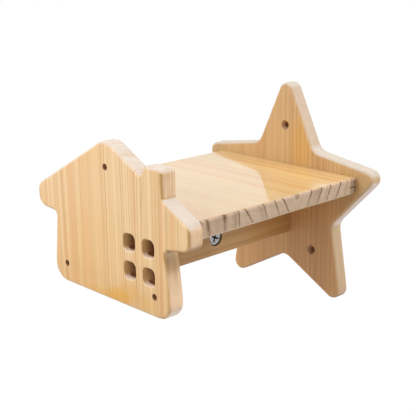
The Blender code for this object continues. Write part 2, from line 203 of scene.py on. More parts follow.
# Every board, in millimetres: its axes along the grain, across it and through it, its colours, and
# what shows in its wood.
# lines, paleLines, calm, pinkZones: (place across, half width, strength); rimZones: the same, but
# along the grain; bars: the same as lines, on the end grain alone, and the slant through the board
# patches, marks: (place along, place across, half length, half width, strength); endPatches: the
# same, but across the board and then through it
# tints, sideGlow, sideShade: (where it begins, where it is full, colour, strength), along
# the grain; underPale: the same without a strength; endCalm: the same without a colour, across the
# board underZone, sideShadeAcross, sideShadeAlong, camDepth: (where it begins, where it is full)
# sideGlow and underPale are painted light, sideShade and under painted shade; rows of the other
# lists that paint light or shade say so where they stand
# holes: (place along, place across, radius); camBores: (place along, place across)
# stripe and endLines: how strong the fine stripes and the lines on the end grain are
# readAt: how deep in the board the places across hold; lean and sway: how far the rings lean
# through the board from there, and how far they sway along it; seed: where its noises start
boards = {
    "house_panel": {
        "name": "housePanel",
        "axes": "ZYX",
        "early": (230, 192, 139),
        "pale": (244, 222, 184),
        "late": (192, 134, 78),
        "amber": (224, 170, 76),
        "pink": (232, 180, 128),
        "side": (236, 202, 162),
        "sideLate": (180, 136, 90),
        "end": (213, 201, 188),
        # painted warm shade on what faces down above the foot, and painted light on the bottom
        "under": (180, 128, 64),
        "underZone": (-42.0, -34.0),
        "underPale": (-35.0, -42.0, (252, 232, 214)),
        "endLate": (196, 158, 122),
        "lines": [
            (84.0, 0.9, 0.3), (76.0, 0.9, 0.3), (68.0, 0.8, 0.3), (58.3, 0.9, 0.75),
            (47.5, 1.2, 0.3), (41.5, 0.7, 0.3), (33.0, 0.8, 0.35), (21.0, 0.7, 0.25),
            (16.7, 0.6, 0.25), (10.0, 0.7, 0.25), (3.5, 0.7, 0.3), (-0.2, 0.7, 0.75),
            (-4.2, 0.5, 0.4), (-6.7, 0.6, 0.45), (-10.0, 0.6, 0.3), (-14.0, 0.5, 0.35),
            (-16.7, 0.6, 0.5), (-19.5, 0.7, 1.0), (-22.0, 0.5, 0.5), (-26.0, 0.5, 0.3),
            (-29.0, 0.6, 0.4), (-31.7, 0.5, 0.4), (-34.0, 0.5, 0.5), (-35.9, 0.6, 1.0),
            (-39.0, 0.5, 0.4), (-43.3, 0.5, 0.35), (-48.3, 0.6, 0.4), (-50.6, 0.5, 0.5),
            (-56.7, 1.2, 0.45), (-61.0, 0.6, 0.5), (-64.6, 0.7, 0.8), (-66.5, 0.6, 0.4),
            (-73.0, 0.8, 0.55), (-78.0, 0.7, 0.4), (-86.0, 1.0, 0.5),
        ],
        "paleLines": [
            (62.5, 1.4, 0.45), (53.5, 2.2, 0.4), (-2.5, 0.8, 0.5), (-12.0, 1.4, 0.7),
            (-24.0, 0.9, 0.5), (-27.5, 0.9, 0.6), (-41.0, 1.6, 0.45), (-46.0, 1.0, 0.6),
            (-53.5, 1.2, 0.6), (-69.5, 1.4, 0.5), (-28.0, 44.0, 0.22),
        ],
        "calm": [(24.0, 34.0, 0.75), (-77.0, 10.0, 0.5)],
        "pinkZones": [
            (46.0, 6.0, 0.6), (28.0, 9.0, 0.55), (70.0, 6.0, 0.25), (-34.0, 5.0, 0.35),
            (-67.5, 3.0, 0.7), (-80.5, 3.5, 0.8), (54.0, 16.0, 0.3),
        ],
        "patches": [
            (-43.0, -12.0, 12.0, 21.0, 0.95), (-34.0, -26.0, 11.0, 17.0, 0.5),
            (-45.0, 14.0, 7.0, 28.0, 0.5), (-38.0, -48.0, 9.0, 14.0, 0.35),
            (-20.0, 20.0, 60.0, 60.0, 0.12),
        ],
        "tints": [(0.0, 45.0, (238, 214, 182), 0.12), (-6.0, -40.0, (212, 164, 102), 0.3)],
        # painted light low on the wall's cut side, and painted shade under the eave
        "sideGlow": (-10.0, -28.0, (252, 216, 180), 0.62),
        "sideShade": (-12.0, -2.0, (146, 106, 50), 0.55),
        "sideShadeAcross": (-66.0, -71.0),
        "sideShadeAlong": (8.0, 2.0),
        "endCalm": (-50.0, -58.0, 0.8),
        "holes": [(63.9, -1.1, 2.95), (-29.7, 57.2, 2.95), (-29.7, -57.2, 2.95)],
        "stripe": 0.75,
        "endLines": 0.8,
        "readAt": -228.5,
        "lean": 0.25,
        "sway": 2.2,
        "seed": 3.0,
        "finish": "panel",
    },
    "star_panel": {
        "name": "starPanel",
        "axes": "ZYX",
        "early": (207, 170, 119),
        "pale": (222, 190, 142),
        "late": (158, 102, 58),
        "amber": (220, 174, 92),
        "pink": (202, 148, 104),
        "side": (206, 176, 140),
        "sideLate": (176, 138, 98),
        "end": (205, 194, 180),
        # painted warm shade on what faces down low on the star, and painted light under the arms
        # higher up
        "under": (186, 134, 84),
        "underZone": (-30.0, -50.0),
        "underPale": (-30.0, -18.0, (237, 216, 202)),
        "rimZones": [(59.0, 15.0, 1.0), (-22.0, 14.0, 0.8)],
        "endLate": (188, 154, 122),
        "lines": [
            (90.0, 1.2, 0.3), (80.0, 1.2, 0.3), (71.0, 1.2, 0.3), (55.6, 1.0, 0.3),
            (46.0, 1.2, 0.25), (35.0, 1.0, 0.3), (26.0, 1.2, 0.25), (16.4, 1.0, 0.3),
            (10.0, 1.0, 0.3), (6.1, 0.8, 0.3), (-0.5, 0.6, 0.9), (-5.2, 0.7, 0.4), (-9.0, 0.8, 0.3),
            (-14.0, 0.8, 0.3), (-19.0, 0.8, 0.3), (-24.5, 0.7, 0.25), (-28.5, 0.8, 0.35),
            (-33.5, 0.8, 0.35), (-39.2, 0.9, 0.55), (-42.3, 0.7, 0.4), (-46.4, 0.9, 0.6),
            (-49.5, 0.7, 0.4), (-52.6, 0.7, 0.4), (-57.7, 0.9, 0.35), (-62.9, 0.8, 0.2),
            (-68.0, 0.9, 0.25), (-73.2, 0.9, 0.2), (-80.0, 1.0, 0.25), (-88.0, 1.2, 0.25),
        ],
        "paleLines": [
            (3.0, 1.2, 0.4), (-12.0, 1.0, 0.4), (-36.0, 1.0, 0.4), (-65.5, 1.2, 0.4),
            (-55.0, 15.0, 0.2), (20.0, 8.0, 0.25),
        ],
        "calm": [(60.0, 50.0, 0.5), (14.0, 16.0, 0.4)],
        "pinkZones": [(-44.0, 10.0, 0.2), (30.0, 14.0, 0.2)],
        "patches": [
            (50.0, -20.0, 40.0, 15.0, 0.75), (24.0, -70.0, 12.0, 24.0, 0.55),
            (26.0, 76.0, 10.0, 26.0, 0.35),
        ],
        # painted warm shade on the seen face under the deck
        "tints": [(22.0, -12.0, (232, 166, 104), 0.5)],
        "holes": [(67.8, 0.0, 2.95), (-47.4, 34.4, 2.95), (-47.4, -34.4, 2.95)],
        # a painted shadow with a chip, beside the deck's end
        "marks": [(27.0, -86.0, 6.0, 1.6, 0.5)],
        "stripe": 0.36,
        "endLines": 0.3,
        "readAt": -15.0,
        "lean": -0.3,
        "sway": 3.5,
        "seed": 8.0,
        "finish": "panel",
    },
    "deck_board": {
        "name": "deckBoard",
        "axes": "YXZ",
        "early": (209, 180, 129),
        "pale": (214, 189, 143),
        "late": (202, 140, 72),
        "amber": (228, 192, 130),
        "pink": (206, 164, 120),
        "end": (204, 176, 148),
        "endLate": (100, 66, 32),
        # painted warm shade on the underside
        "under": (200, 158, 104),
        "lines": [
            (-197.3, 2.0, 0.20), (-178.6, 2.2, 0.20), (-163.3, 2.0, 0.25), (-151.5, 2.2, 0.20),
            (-132.7, 2.2, 0.20), (-118.4, 2.0, 0.20), (-107.8, 2.2, 0.25), (-96.0, 2.4, 0.65),
            (-90.5, 1.6, 0.35), (-79.0, 1.6, 0.35), (-74.0, 2.0, 0.60), (-80.0, 22.0, 0.12),
            (-64.5, 1.6, 0.50), (-51.0, 1.5, 0.60), (-42.0, 1.4, 0.40), (-37.0, 2.2, 1.20),
            (-28.5, 1.6, 0.70),
        ],
        # growth lines, and the first bar a painted shadow beside the house's eave
        "bars": [
            (-204.0, 3.0, 0.45, 0.0), (-196.4, 3.0, 0.62, -0.17), (-188.0, 28.0, 0.12, 0.0),
            (-178.8, 3.4, 0.62, 0.0), (-163.1, 1.3, 0.85, -0.04), (-167.0, 4.5, 0.30, 0.0),
            (-151.4, 1.8, 0.75, -0.66), (-132.7, 1.6, 0.62, -0.37), (-137.0, 5.0, 0.18, -0.37),
            (-118.6, 1.5, 0.70, -0.42), (-107.8, 1.5, 0.90, -0.58), (-99.0, 0.8, 0.20, -0.30),
            (-90.0, 0.9, 0.20, 0.40), (-78.8, 1.5, 0.75, 0.50), (-70.5, 10.0, 0.26, 0.45),
            (-67.5, 1.0, 0.25, 0.45), (-65.5, 1.4, 0.80, 0.50), (-57.4, 1.8, 0.20, 0.38),
            (-53.6, 1.4, 0.90, 0.50), (-45.0, 1.0, 0.22, 0.40), (-40.2, 1.5, 1.00, 0.58),
            (-29.5, 1.6, 0.35, 0.35), (-21.0, 3.5, 0.35, 0.0),
        ],
        "paleLines": [
            (-140.0, 8.0, 0.5), (-105.5, 9.0, 1.0), (-86.0, 3.4, 0.5), (-70.0, 1.2, 0.4),
            (-57.5, 3.2, 0.5), (-48.0, 2.0, 0.3), (-32.5, 1.6, 0.5), (-22.0, 3.2, 1.0),
        ],
        "calm": [],
        # the first zone is painted shade beside the house
        "pinkZones": [(-194.0, 20.0, 0.9), (-70.0, 16.0, 0.2)],
        "tints": [],
        # amber towards the star, which also paints the star panel's warm reflection in the lacquer
        "patches": [(-10.0, -30.0, 100.0, 36.0, 0.75), (-60.0, -60.0, 50.0, 40.0, 0.5)],
        # dark spots and a crack; the rows by the star also paint the shadow where the deck's end
        # meets it
        "endPatches": [
            (-180.0, 31.0, 8.0, 4.0, 0.15), (-94.5, 30.0, 4.2, 4.5, 0.45),
            (-29.6, 18.0, 1.1, 1.3, 0.60), (-17.2, 28.0, 1.2, 3.5, 0.70),
            (-19.5, 23.6, 7.0, 0.7, 0.90), (-16.5, 20.0, 1.5, 6.0, 0.55),
        ],
        "holes": [],
        "camBores": [(45.5, -178.1), (-45.5, -178.1), (45.5, -50.4), (-45.5, -50.4)],
        "camDepth": (31.0, 30.0),
        "stripe": 0.35,
        "endLines": 1.0,
        "readAt": 24.0,
        "lean": 0.0,
        "sway": 2.5,
        "seed": 5.0,
        "finish": "deck",
    },
    "centre_rail": {
        "name": "centreRail",
        "axes": "XZY",
        "early": (206, 163, 107),
        "pale": (220, 182, 128),
        "late": (166, 114, 66),
        "amber": (202, 144, 80),
        "side": (188, 148, 102),
        "sideLate": (160, 116, 76),
        "end": (204, 170, 134),
        "endLate": (146, 106, 74),
        # painted warm shade on the underside
        "under": (176, 128, 80),
        "lines": [
            (12.0, 1.6, 0.25), (4.0, 2.0, 0.30), (-8.0, 2.4, 0.25), (-16.0, 1.4, 0.60),
            (-22.0, 2.6, 0.25), (-31.0, 1.6, 0.35),
        ],
        "paleLines": [(-12.0, 3.0, 0.4), (-27.0, 3.0, 0.4)],
        "calm": [],
        "pinkZones": [],
        # warmer towards the star, painting the warm shade under the deck, and darker towards the
        # house
        "tints": [(-110.0, -20.0, (188, 128, 66), 0.55), (-106.0, -128.0, (180, 140, 92), 0.55)],
        "patches": [(-50.0, -10.0, 50.0, 16.0, 0.45)],
        "holes": [],
        "camBores": [(-114.25, -18.9)],
        "stripe": 0.3,
        "endLines": 0.5,
        "readAt": -7.5,
        "lean": 0.4,
        "sway": 12.0,
        "seed": 2.0,
        "finish": "panel",
    },
}
# what the wood of every board shares
grain = {
    # each noise's scale, detail and roughness
    "noises": {
        "sway": (1.0, 1.0, 0.5),
        "patchy": (2.6, 2.0, 0.5),
        "stain": (1.7, 1.0, 0.5),
        "broad": (0.06, 2.0, 0.5),
        "narrow": (0.30, 2.0, 0.6),
        "thin": (0.80, 1.0, 0.5),
        "fibre": (1.4, 3.0, 0.65),
        "speckle": (0.9, 3.0, 0.7),
        "blotch": (0.12, 2.0, 0.5),
        "sawn": (1.0, 2.0, 0.6),
        "sideLines": (1.0, 2.0, 0.6),
    },
    # how far a noise runs for each millimetre along the grain, across it and through the board
    "slow": {"along": 0.010, "across": 0.03, "through": 0.03},
    "stripes": {"along": 0.004, "through": 0.15},
    "fibres": {"along": 0.03},
    "saw": {"slant": 0.45, "through": 1.1, "across": 0.12},
    "sides": {"along": 0.015, "across": 0.12, "through": 0.8},
    # what darkens a face, an end and a side, and what lifts the surface
    "face": {"broad": 0.6, "narrow": 0.8, "thin": 0.7, "fibre": 0.3, "lines": 0.75},
    "end": {"thin": 0.5, "narrow": 0.4, "speckle": 0.3, "blotch": 0.3},
    "side": {"fibre": 0.4, "speckle": 0.25, "blotch": 0.5},
    "height": {"fibre": 0.5, "thin": 0.3, "lines": -0.5},
    "sawnShare": 0.6,
    "sideLineShare": 1.4,
    # how dark each of them is without that
    "faceDark": 0.12,
    "endDark": 0.12,
    "sideDark": 0.16,
    # growth lines and patches fade with a noise: its share and what stays without it
    "lineFade": (1.1, 0.45),
    "patchFade": (1.2, 0.9),
    "thinPale": 0.8,
    "streaks": (0.02, 0.22),
    "streakShare": 0.45,
    "paleShare": 0.75,
    "broadStain": 0.6,
    "stains": (0.55, 0.95),
    "stainShare": 0.2,
    "tintDepth": (9.0, 4.0),
    # bars on the end grain are stronger towards the upper arris
    "barRise": (-8.0, 6.0),
    "barFade": (0.5, 0.55),
    "bump": {"Strength": 0.12, "Distance": 0.0003},
}
# how far a surface has turned away from the face, or down, where it shows another cut of the wood
turns = {
    "rim": (0.92, 0.45),
    "wideRim": (0.998, 0.9),
    "wideRimWander": 12.0,
    "end": (0.15, 0.75),
    "lowRim": (0.0, 0.3),
    "lowRimFace": (0.2, 0.6),
    "lowRimKept": 0.85,
    # where painted warm shade and painted light fall on what faces down
    "under": (0.2, 0.7),
    "underShare": 0.8,
    "underPale": (0.1, 0.5),
}
# the house's windows: the middle of the four, how far they reach from it and the wood seen inside,
# with painted light and shade
windows = {
    "side": -39.0,
    "along": -3.8,
    "reach": 19.6,
    "outside": -228.5,
    "near": (228, 186, 128),
    # painted shade deep in the windows
    "far": (128, 82, 46),
    # the sill's front: pale end grain with painted top light
    "sill": (246, 222, 198),
    # painted highlight on the rims
    "rim": (250, 228, 192),
    "deepens": (1.0, 13.0),  # behind the outer face
    "sillEnds": (6.0, 3.5),
    "ragged": 5.0,
    "rimShare": 0.8,
    "rimTurn": (0.99, 0.9),
    "sillTurn": (0.4, 0.8),
    "wallTurn": (0.6, 0.25),
    "bareTurn": (0.8, 0.4),
}
# the shade on the house's upright front arrises, and along the foot of the chimney
crease = {
    "colour": (186, 144, 80),
    "forward": (0.2, 0.6),
    "face": (0.3, 0.75),
    "upright": (0.4, 0.15),
    "height": (-12.0, 4.0),
    "share": 0.8,
    "least": 0.12,
    "foot": 50.0,
    "footWidth": (1.8, 0.4),
    "footForward": (0.6, 0.9),
    "footShare": 0.6,
}
# bare wood in the screw holes and their countersinks, darkened with painted shade; painted shadow in
# the cam locks' bores; small marks, the star's one a painted shadow with a chip
bored = {
    "hole": (180, 138, 96),
    "holeEdge": 0.85,
    "countersink": (150, 106, 64),
    "sinkRadius": 4.75,
    "sinkShare": 0.8,
    "sinkTurn": (0.97, 0.85),
    "camBore": (15, 10, 7),
    "camRadius": 7.85,
    "camEdge": 0.9,
    "markEdge": 0.2,
}
# the clear lacquer, and how the fibres, bare wood and end grain dull it
lacquer = {
    "panel": {"Coat Roughness": 0.22, "Coat IOR": 1.5, "Specular IOR Level": 0.3},
    "deck": {"Coat Roughness": 0.06, "Coat IOR": 1.6, "Specular IOR Level": 0.3},
    "roughness": {"panel": 0.5, "deck": 0.42},
    "coat": {"panel": 0.25, "deck": 0.95},
    "fibreRough": 0.12,
    "bareRough": 0.4,
    "endRough": 0.5,
    "endUncoated": 0.8,
}


def bands(across, rows):
    # soft bands, each as (place, half width, strength)
    total = across * 0.0
    for place, width, strength in rows:
        total = total + abs(across - place).between(width, 0.0) * strength
    return total


def slantedBars(side, depth, board):
    # bands on the end grain, each with its slant through the board
    total = side * 0.0
    level = depth - board["readAt"]
    for place, width, strength, slant in board["bars"]:
        total = total + abs(side - place - level * slant).between(width, 0.0) * strength
    share, least = grain["barFade"]
    return total * (level.between(*grain["barRise"]) * share + least)


def patches(along, side, rows, hard=0.0):
    # soft ovals, each as (place along, place across, half length, half width, strength)
    total = along * 0.0
    for alongPlace, sidePlace, length, width, strength in rows:
        up = ((along - alongPlace) * (1.0 / length)) ** 2.0
        over = ((side - sidePlace) * (1.0 / width)) ** 2.0
        total = total + (up + over).between(1.0, hard) * strength
    return total


def cloud(place, kind):
    return place.noise(*grain["noises"][kind])


def swing(place, kind):
    # the same noise around zero
    return cloud(place, kind) - 0.5


def blend(wood, shares, least):
    total = least
    for kind, share in shares.items():
        total = wood[kind] * share + total
    return total


def readWood(shade, board):
    # the places in a board, the way its surface faces and the figure of its wood
    here = shade.place()
    along, side, depth = (here.part(axis) for axis in board["axes"])
    run = grain["slow"]
    slow = shade.join(
        along * run["along"], side * run["across"] + board["seed"], depth * run["through"]
    )
    rings = side + (depth - board["readAt"]) * board["lean"] + swing(slow, "sway") * board["sway"]
    share, least = grain["lineFade"]
    lines = bands(rings, board["lines"]) * (cloud(slow, "patchy") * share + least)
    run = grain["stripes"]
    stripes = shade.join(rings, depth * run["through"] + board["seed"], along * run["along"])
    lively = board["stripe"]
    if board["calm"]:
        lively = (1.0 - bands(rings, board["calm"])) * lively
    normal = shade.normal()
    return {
        "along": along,
        "side": side,
        "depth": depth,
        "rings": rings,
        "normal": normal,
        "facing": abs(normal.part(board["axes"][2])),
        "down": normal.part("Z") * -1.0,
        "lines": lines,
        "stain": cloud(slow, "stain"),
        "broad": swing(stripes, "broad"),
        "narrow": swing(stripes, "narrow") * lively,
        "thin": swing(stripes, "thin") * lively,
        "fibre": swing(shade.join(rings, depth, along * grain["fibres"]["along"]), "fibre"),
        "speckle": swing(here, "speckle"),
        "blotch": swing(here, "blotch"),
    }


def faceColour(board, wood):
    # the broad faces: pale and pink wood, amber patches and dark growth lines, and some painted warm
    # shade, painted shade and a painted warm reflection, as marked below
    along, rings, narrow = wood["along"], wood["rings"], wood["narrow"]
    streaks = (narrow * -1.0 - wood["thin"] * grain["thinPale"]).between(*grain["streaks"])
    pale = streaks * grain["streakShare"] + bands(rings, board["paleLines"]) * grain["paleShare"]
    colour = pale.limited().mix(rgb(board["early"]), rgb(board["pale"]))
    # pink zones in the wood; the deck's first is painted shade beside the house
    if board["pinkZones"]:
        colour = bands(rings, board["pinkZones"]).limited().mix(colour, rgb(board["pink"]))
    # tints on the seen face; on the star and the rail they paint the warm shade under the deck
    seenSide = abs(wood["depth"] - board["readAt"]).between(*grain["tintDepth"])
    for begins, ends, tint, share in board["tints"]:
        colour = (along.between(begins, ends) * seenSide * share).mix(colour, rgb(tint))
    stain = (wood["stain"] + wood["broad"] * grain["broadStain"]).between(*grain["stains"])
    # amber patches; on the deck they also paint the star panel's warm reflection
    share, least = grain["patchFade"]
    patch = patches(along, rings, board["patches"]) * (narrow * share + least)
    stain = (stain * grain["stainShare"] + patch).limited()
    colour = stain.mix(colour, rgb(board["amber"]))
    tone = blend(wood, grain["face"], grain["faceDark"]).limited()
    return tone.mix(colour, rgb(board["late"]))


def endColour(shade, board, wood):
    # the end grain, with its growth lines and the marks of the saw;
    # on the deck's end also painted shadow beside the house and the star
    side, depth = wood["side"], wood["depth"]
    bars = slantedBars(side, depth, board) if "bars" in board else wood["lines"]
    if "endCalm" in board:
        begins, ends, share = board["endCalm"]
        bars = bars * (1.0 - side.between(begins, ends) * share)
    run = grain["saw"]
    across = (depth + side * run["slant"]) * run["through"]
    sawn = swing(shade.join(across, side * run["across"], board["seed"]), "sawn")
    tone = blend(wood, grain["end"], grain["endDark"])
    tone = tone + bars * board["endLines"] + sawn * grain["sawnShare"]
    if "endPatches" in board:
        tone = tone + patches(side, depth, board["endPatches"])
    return tone.limited().mix(rgb(board["end"]), rgb(board["endLate"]))


def sideColour(shade, board, wood):
    # a panel's cut sides; on the house, painted light low on its wall and painted shade under its
    # eave
    along, side = wood["along"], wood["side"]
    run = grain["sides"]
    edge = shade.join(
        wood["depth"] * run["through"], side * run["across"], along * run["along"] + board["seed"]
    )
    tone = blend(wood, grain["side"], grain["sideDark"])
    tone = (tone + swing(edge, "sideLines") * grain["sideLineShare"]).limited()
    colour = tone.mix(rgb(board["side"]), rgb(board["sideLate"]))
    # painted light low on the house's wall
    if "sideGlow" in board:
        begins, ends, tint, share = board["sideGlow"]
        colour = (along.between(begins, ends) * share).mix(colour, rgb(tint))
    # painted shade under the house's eave
    if "sideShade" in board:
        begins, ends, tint, share = board["sideShade"]
        zone = side.between(*board["sideShadeAcross"]) * along.between(*board["sideShadeAlong"])
        colour = (along.between(begins, ends) * zone * share).mix(colour, rgb(tint))
    return colour


def rimShare(board, wood, kept):
    # where a panel's face goes over into its cut side
    facing = wood["facing"]
    rim = facing.between(*turns["rim"]) * kept
    if "rimZones" in board:
        wander = wood["along"] + wood["blotch"] * turns["wideRimWander"]
        rim = rim.larger(facing.between(*turns["wideRim"]) * bands(wander, board["rimZones"]))
    return rim


def underWood(colour, board, wood, lowRim):
    # what faces the floor: painted warm shade on it, and painted light where the zones give it
    along, down = wood["along"], wood["down"]
    under = down.between(*turns["under"]) * turns["underShare"]
    if "underZone" in board:
        under = under * along.between(*board["underZone"])
    colour = under.mix(colour, rgb(board["under"]))
    # painted light on the undersides in the zone
    if "underPale" in board:
        begins, ends, tint = board["underPale"]
        pale = down.between(*turns["underPale"]) * along.between(begins, ends) * (1.0 - lowRim)
        colour = pale.mix(colour, rgb(tint))
    return colour


def creaseShare(wood, within):
    along, facing = wood["along"], wood["facing"]
    forward = wood["normal"].part("Y") * -1.0
    upright = abs(wood["normal"].part("Z")).between(*crease["upright"])
    arris = forward.between(*crease["forward"]) * facing.between(*crease["face"]) * upright
    high = along.between(*crease["height"]) * crease["share"] + crease["least"]
    foot = abs(along - crease["foot"]).between(*crease["footWidth"])
    foot = foot * forward.between(*crease["footForward"]) * crease["footShare"]
    return (arris * (1.0 - within) * high + foot).limited()


def windowWood(colour, wood, within):
    # the cut wood inside the windows: painted shade towards the inner face, a sill pale at its front
    # from its end grain and painted top light, and a painted highlight on the rims
    facing, behind = wood["facing"], wood["depth"] - windows["outside"]
    near, far = rgb(windows["near"]), rgb(windows["far"])
    # painted shade deeper in, and the sill's pale front with painted top light
    deep = (behind + wood["speckle"] * windows["ragged"]).between(*windows["deepens"])
    sill = behind.between(*windows["sillEnds"]).mix(far, rgb(windows["sill"]))
    cut = wood["normal"].part("Z").between(*windows["sillTurn"]).mix(deep.mix(near, far), sill)
    # painted highlight on the window rims
    rim = within * facing.between(*windows["rimTurn"]) * windows["rimShare"]
    colour = rim.mix(colour, rgb(windows["rim"]))
    return (within * facing.between(*windows["wallTurn"])).mix(colour, cut)


def houseWood(colour, wood):
    # the painted shade on the house's creases, the painted light and shade in its windows, and how
    # bare the wood is in them
    over = abs(wood["side"] - windows["side"])
    up = abs(wood["along"] - windows["along"])
    within = over.larger(up).maths("LESS_THAN", windows["reach"])
    colour = creaseShare(wood, within).mix(colour, rgb(crease["colour"]))
    colour = windowWood(colour, wood, within)
    return colour, within * wood["facing"].between(*windows["bareTurn"])


def boredWood(colour, bare, board, wood):
    # the screw holes with painted shade, the painted shadow in the cam locks' bores, and the small
    # marks
    along, side = wood["along"], wood["side"]
    # darker bare wood in the holes and countersinks, with painted shade
    if board["holes"]:
        radius, share = bored["sinkRadius"], bored["sinkShare"]
        rows = [(up, over, radius, radius, share) for up, over, size in board["holes"]]
        sunk = patches(along, side, rows, bored["holeEdge"]).limited()
        sunk = sunk * wood["facing"].between(*bored["sinkTurn"])
        colour = sunk.mix(colour, rgb(bored["countersink"]))
        rows = [(up, over, size, size, 1.0) for up, over, size in board["holes"]]
        raw = patches(along, side, rows, bored["holeEdge"]).limited()
        colour = raw.mix(colour, rgb(bored["hole"]))
        bare = bare + raw
    # painted shadow in the bores around the cam locks
    if "camBores" in board:
        radius = bored["camRadius"]
        rows = [(*place, radius, radius, 1.0) for place in board["camBores"]]
        raw = patches(along, side, rows, bored["camEdge"]).limited()
        if "camDepth" in board:
            raw = raw * wood["depth"].between(*board["camDepth"])
        colour = raw.mix(colour, rgb(bored["camBore"]))
        bare = bare + raw
    # the star's mark is a painted shadow with a chip, beside the deck's end
    if "marks" in board:
        mark = patches(along, side, board["marks"], bored["markEdge"]).limited()
        colour = mark.mix(colour, rgb(bored["hole"]))
    return colour, bare.limited()


def pine(board):
    material, shade = newMaterial(board["name"] + "Pine")
    wood = readWood(shade, board)
    # the rounded lower rims keep the face's colour
    lowRim = wood["down"].between(*turns["lowRim"]) * wood["facing"].between(*turns["lowRimFace"])
    kept = 1.0 - lowRim * turns["lowRimKept"]
    endShare = abs(wood["normal"].part(board["axes"][0])).between(*turns["end"]) * kept
    colour = faceColour(board, wood)
    if board["finish"] == "panel":
        colour = rimShare(board, wood, kept).mix(colour, sideColour(shade, board, wood))
    colour = endShare.mix(colour, endColour(shade, board, wood))
    colour = underWood(colour, board, wood, lowRim)
    bare = wood["along"] * 0.0
    if board["name"] == "housePanel":
        colour, bare = houseWood(colour, wood)
    colour, bare = boredWood(colour, bare, board, wood)
    height = blend(wood, grain["height"], 0.0)
    bump = shade.add("ShaderNodeBump", None, {"Height": height, **grain["bump"]})
    finish = board["finish"]
    rough = wood["fibre"] * lacquer["fibreRough"] + lacquer["roughness"][finish]
    dull = (bare + endShare * lacquer["endRough"]).limited() * lacquer["bareRough"]
    coated = (1.0 - bare) * (1.0 - endShare * lacquer["endUncoated"])
    surface(shade, {
        "Base Color": colour,
        "Roughness": rough + dull,
        "Normal": bump,
        "Coat Weight": coated * lacquer["coat"][finish],
        **lacquer[finish],
    })
    return material


# how near, in metres, points are joined, and how far two faces may turn and still look round
joining = {"cad": 0.000004, "turned": 0.000002, "flat": 0.000001, "softAngle": 34}


def softenFaces(work):
    # smooth all round, but sharp where two faces meet at more than the soft angle
    soft = math.radians(joining["softAngle"])
    for face in work.faces:
        face.smooth = True
    for edge in work.edges:
        edge.smooth = len(edge.link_faces) == 2 and edge.calc_face_angle(0) < soft


def dress(mesh, material):
    # the copy of a CAD mesh loses its own normals and gets one material
    if "custom_normal" in mesh.attributes:
        mesh.attributes.remove(mesh.attributes["custom_normal"])
    mesh.materials.clear()
    mesh.materials.append(material)


def makeBoard(node, board):
    # the same shape with its loose triangles joined, so that its rounded edges shade smoothly
    material = pine(board)
    mesh = nodes[node].data.copy()
    mesh.name = board["name"]
    work = bmesh.new()
    work.from_mesh(mesh)
    bmesh.ops.remove_doubles(work, verts=work.verts, dist=joining["cad"])
    bmesh.ops.dissolve_degenerate(work, edges=work.edges, dist=joining["flat"])
    softenFaces(work)
    work.to_mesh(mesh)
    work.free()
    dress(mesh, material)
    piece = addObject(board["name"], mesh)
    weighted = piece.modifiers.new("evenShade", "WEIGHTED_NORMAL")
    weighted.keep_sharp = True
    weighted.weight = 100
    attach(piece, "bridge")
    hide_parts(node)


for node, board in boards.items():
    makeBoard(node, board)
print("boards made")

# how many points each round of a fastener has
rounds = {"ring": 48, "bead": 8, "pointer": 3, "thread": 16, "crest": 3}


def newTree(name, inputs):
    # an empty geometry tree with its named inputs
    tree = bpy.data.node_groups.new(name, "GeometryNodeTree")
    tree.is_modifier = True
    tree.interface.new_socket("Geometry", in_out="INPUT", socket_type="NodeSocketGeometry")
    for label, kind in inputs.items():
        tree.interface.new_socket(label, in_out="INPUT", socket_type="NodeSocket" + kind)
    tree.interface.new_socket("Geometry", in_out="OUTPUT", socket_type="NodeSocketGeometry")
    given = tree.nodes.new("NodeGroupInput")
    return Shade(tree), {socket.name: Shade(tree, socket) for socket in given.outputs if socket.name}


def attribute(maker, name, kind):
    return maker.add("GeometryNodeInputNamedAttribute", {"data_type": kind}, {"Name": name})


def circle(maker, points, radius):
    inputs = {"Resolution": points, "Radius": radius}
    return maker.add("GeometryNodeCurvePrimitiveCircle", None, inputs)


def endTree(maker, shapes, points, rotation, material):
    # the joined shapes stand on every point, become real and take their material
    shape = maker.add("GeometryNodeJoinGeometry", None, {0: shapes})
    inputs = {"Points": points, "Instance": shape, "Rotation": rotation}
    stood = maker.add("GeometryNodeInstanceOnPoints", None, inputs)
    real = maker.add("GeometryNodeRealizeInstances", None, {"Geometry": stood})
    inputs = {"Geometry": real, "Material": material}
    finished = maker.add("GeometryNodeSetMaterial", None, inputs)
    maker.add("NodeGroupOutput", None, {0: finished})
    return maker.tree


